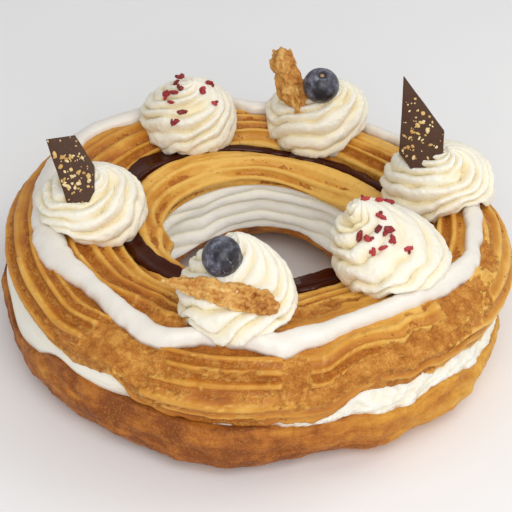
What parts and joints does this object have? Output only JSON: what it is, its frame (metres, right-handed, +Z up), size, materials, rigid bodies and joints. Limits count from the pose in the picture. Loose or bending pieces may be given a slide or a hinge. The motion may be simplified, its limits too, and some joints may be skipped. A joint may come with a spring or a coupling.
{
  "type": "choux ring",
  "caption": "Filled choux pastry ring with whipped cream, white and chocolate icing, piped rosettes, berries and crisp shards.",
  "frame": {"origin": "centre of the pastry's outline at its base, on the surface it stands on", "axes": "+Z up along the ring's axis, -Y towards the front"},
  "size_m": [0.214, 0.2053, 0.1134],
  "materials": {
    "base_crust": "browned choux crust, dry and slightly rough",
    "lid_crust": "golden choux crust with piped ridges, dry, faint egg-wash sheen",
    "whipped_cream": "whipped cream, soft satin",
    "white_icing": "set fondant icing, satin",
    "dark_icing": "set chocolate fondant, glossy",
    "blueberry_skin": "dark skin under a pale bloom",
    "dark_chocolate": "tempered dark chocolate, satin",
    "nut_crumbs": "toasted nut crumbs, dry",
    "toasted_biscuit": "crisp toasted biscuit, granular",
    "freeze_dried_raspberry": "dry fruit bits, matt"
  },
  "bodies": {
    "root": {"choux_base": "base_crust", "cream_filling": "whipped_cream", "choux_lid": "lid_crust", "white_icing": "white_icing", "chocolate_icing": "dark_icing", "cream_rosette_1": "whipped_cream", "cream_rosette_2": "whipped_cream", "cream_rosette_3": "whipped_cream", "cream_rosette_4": "whipped_cream", "cream_rosette_5": "whipped_cream", "cream_rosette_6": "whipped_cream", "blueberry_1": "blueberry_skin", "blueberry_2": "blueberry_skin", "chocolate_shard_1": "dark_chocolate", "chocolate_shard_2": "dark_chocolate", "biscuit_shard_1": "toasted_biscuit", "biscuit_shard_2": "toasted_biscuit"}
  },
  "joints": []
}
